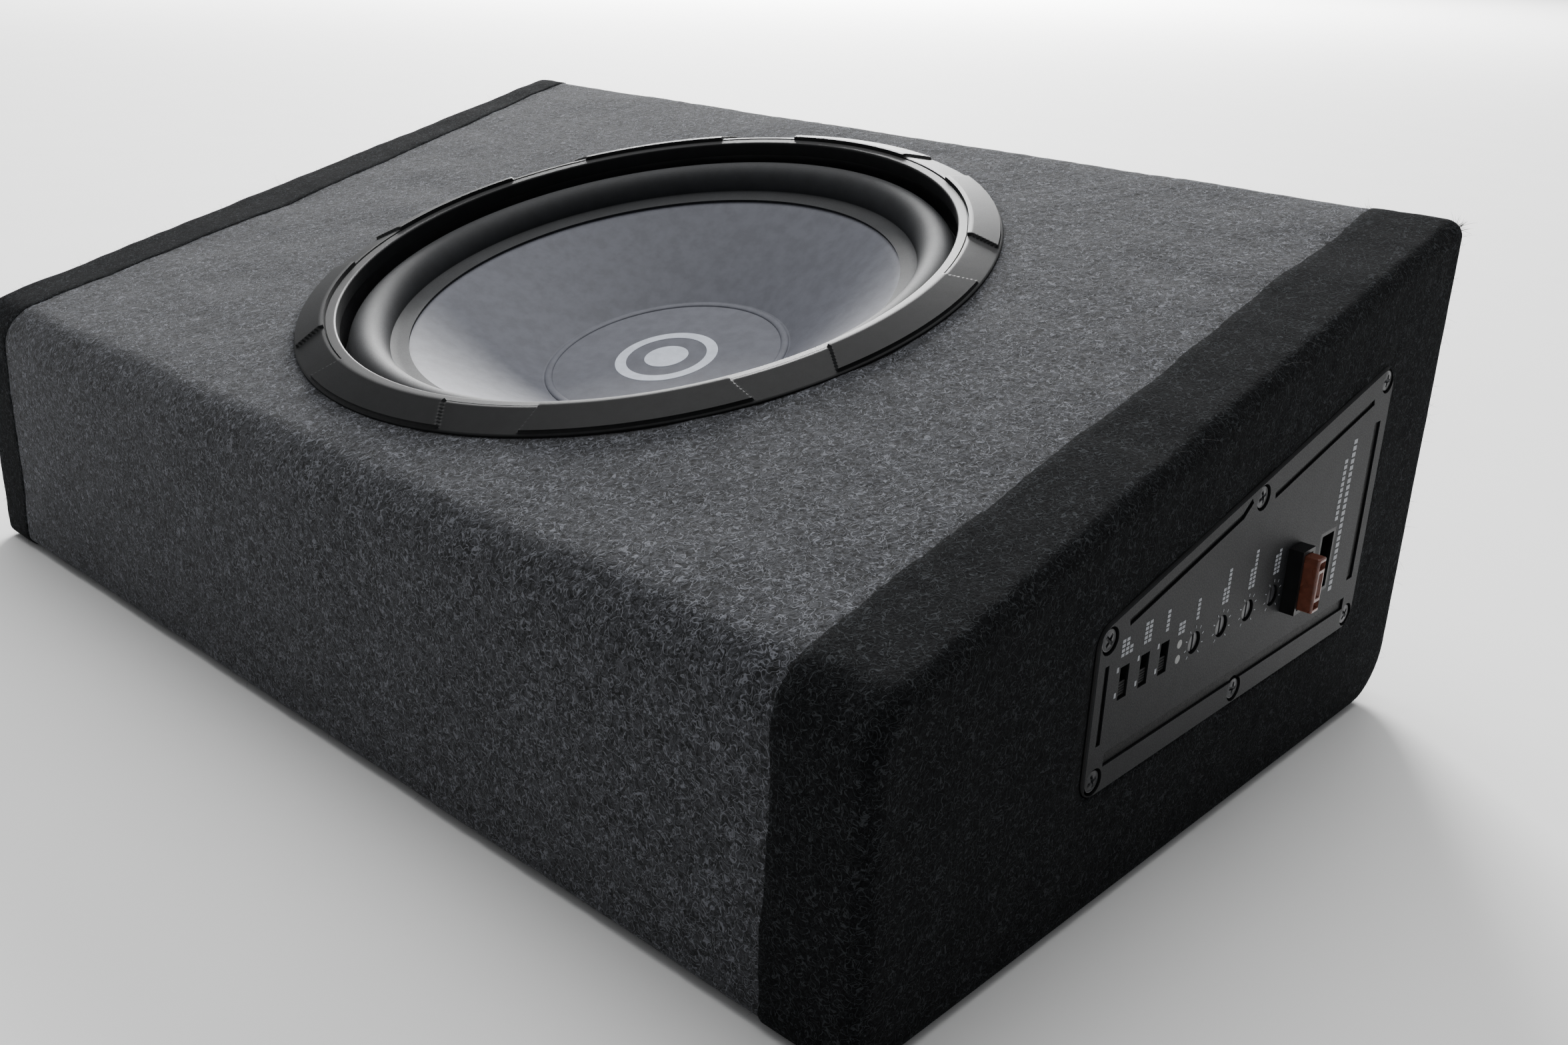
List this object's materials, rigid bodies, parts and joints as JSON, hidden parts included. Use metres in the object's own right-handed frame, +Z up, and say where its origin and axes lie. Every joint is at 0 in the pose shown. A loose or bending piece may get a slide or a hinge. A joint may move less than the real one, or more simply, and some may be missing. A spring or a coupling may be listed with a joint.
{
  "type": "powered car subwoofer",
  "caption": "Carpeted wedge-shaped car subwoofer box with a shallow woofer in its sloping lid and a built-in amplifier with its controls, fuse and harness socket in one end.",
  "frame": {"origin": "middle of the carpeted face that the box rests on, on the floor, halfway along and halfway across the box", "axes": "+X along the box towards the end with the amplifier panel, +Y from the low side to the tall side, +Z up"},
  "size_m": [0.5155, 0.315, 0.1833],
  "materials": {
    "board": "raw fibreboard",
    "grey_felt": "heathered needle felt",
    "black_felt": "needle felt",
    "ring_plastic": "satin moulded",
    "black_steel": "black stamped steel",
    "black_zinc": "black plated screws",
    "foam": "closed-cell foam",
    "roll_rubber": "satin rubber",
    "cone_plastic": "filled polypropylene",
    "mark_print": "silver pad print",
    "spider_cloth": "resin-dipped cotton",
    "former_foil": "rolled foil",
    "coil_wire": "enamelled copper wire",
    "motor_steel": "zinc plated",
    "ferrite": "sintered ferrite",
    "terminal_plastic": "moulded",
    "tinsel": "woven tinsel",
    "red_lead": "insulated wire",
    "black_lead": "insulated wire",
    "panel_plastic": "textured moulding",
    "control_plastic": "moulded",
    "shaft_plastic": "moulded",
    "lamp": "clear lens",
    "fuse_plastic": "tinted clear plastic",
    "fuse_metal": "tinned blade",
    "pin_metal": "plated pins",
    "board_laminate": "solder mask",
    "sink_metal": "extruded",
    "package_plastic": "moulded package",
    "core_ferrite": "coated core",
    "sleeve": "shrink sleeve"
  },
  "bodies": {
    "root": {"bottom_board": "board", "baffle_board": "board", "low_side_board": "board", "tall_side_board": "board", "left_end_board": "board", "right_end_board": "board", "bottom_carpet": "grey_felt", "grey_carpet": "grey_felt", "left_end_carpet": "black_felt", "right_end_carpet": "black_felt", "trim_ring": "ring_plastic", "driver_gasket": "foam", "driver_basket": "black_steel", "driver_screws": "black_zinc", "motor_screws": "black_zinc", "top_plate": "motor_steel", "magnet": "ferrite", "back_plate": "motor_steel", "terminal_block": "terminal_plastic", "control_panel": "panel_plastic", "panel_gasket": "foam", "panel_screws": "black_zinc", "turn_on_switch": "control_plastic", "input_level_switch": "control_plastic", "phase_switch": "control_plastic", "control_pots": "control_plastic", "power_leds": "lamp", "fuse_holder": "control_plastic", "harness_socket": "control_plastic", "harness_pins": "pin_metal", "circuit_board": "board_laminate", "heat_sink": "sink_metal", "power_transistors": "package_plastic", "transistor_clamp": "motor_steel", "transformer_core": "core_ferrite", "transformer_winding": "coil_wire", "filter_capacitors": "sleeve", "output_terminal": "terminal_plastic", "circuit_brackets": "motor_steel", "negative_speaker_lead": "black_lead", "positive_speaker_lead": "red_lead"},
    "cone_assembly": {"cone": "cone_plastic", "dust_cap": "cone_plastic", "cap_emblem": "mark_print", "coil_former": "former_foil", "voice_coil": "coil_wire", "surround": "roll_rubber", "spider": "spider_cloth", "tinsel_leads": "tinsel"},
    "turn_on_slider": {"turn_on_knob": "control_plastic"},
    "input_level_slider": {"input_level_knob": "control_plastic"},
    "phase_slider": {"phase_knob": "control_plastic"},
    "gain_control": {"gain_shaft": "shaft_plastic"},
    "bass_boost_control": {"bass_boost_shaft": "shaft_plastic"},
    "crossover_control": {"crossover_shaft": "shaft_plastic"},
    "subsonic_control": {"subsonic_shaft": "shaft_plastic"},
    "fuse": {"fuse_body": "fuse_plastic", "fuse_blades": "fuse_metal"}
  },
  "joints": [
    {"name": "cone_travel", "type": "slide", "parent": "root", "child": "cone_assembly", "axis": [0, -0.2462, 0.9692], "range_m": [-0.008, 0.008], "stiffness_N_per_m": 5000, "deforming": ["surround", "spider", "tinsel_leads"]},
    {"name": "turn_on_slide", "type": "slide", "parent": "root", "child": "turn_on_slider", "axis": [0, 0, 1], "range_m": [0, 0.0048]},
    {"name": "input_level_slide", "type": "slide", "parent": "root", "child": "input_level_slider", "axis": [0, 0, 1], "range_m": [0, 0.0048]},
    {"name": "phase_slide", "type": "slide", "parent": "root", "child": "phase_slider", "axis": [0, 0, 1], "range_m": [0, 0.0048]},
    {"name": "gain_turn", "type": "hinge", "parent": "root", "child": "gain_control", "pos_m": [0.25, -0.0084, 0.0765], "axis": [1, 0, 0], "range_deg": [-140, 140]},
    {"name": "bass_boost_turn", "type": "hinge", "parent": "root", "child": "bass_boost_control", "pos_m": [0.25, 0.0084, 0.0765], "axis": [1, 0, 0], "range_deg": [-140, 140]},
    {"name": "crossover_turn", "type": "hinge", "parent": "root", "child": "crossover_control", "pos_m": [0.25, 0.0252, 0.0765], "axis": [1, 0, 0], "range_deg": [-140, 140]},
    {"name": "subsonic_turn", "type": "hinge", "parent": "root", "child": "subsonic_control", "pos_m": [0.25, 0.042, 0.0765], "axis": [1, 0, 0], "range_deg": [-140, 140]},
    {"name": "fuse_pull", "type": "slide", "parent": "root", "child": "fuse", "axis": [1, 0, 0], "range_m": [0, 0.022]}
  ]
}
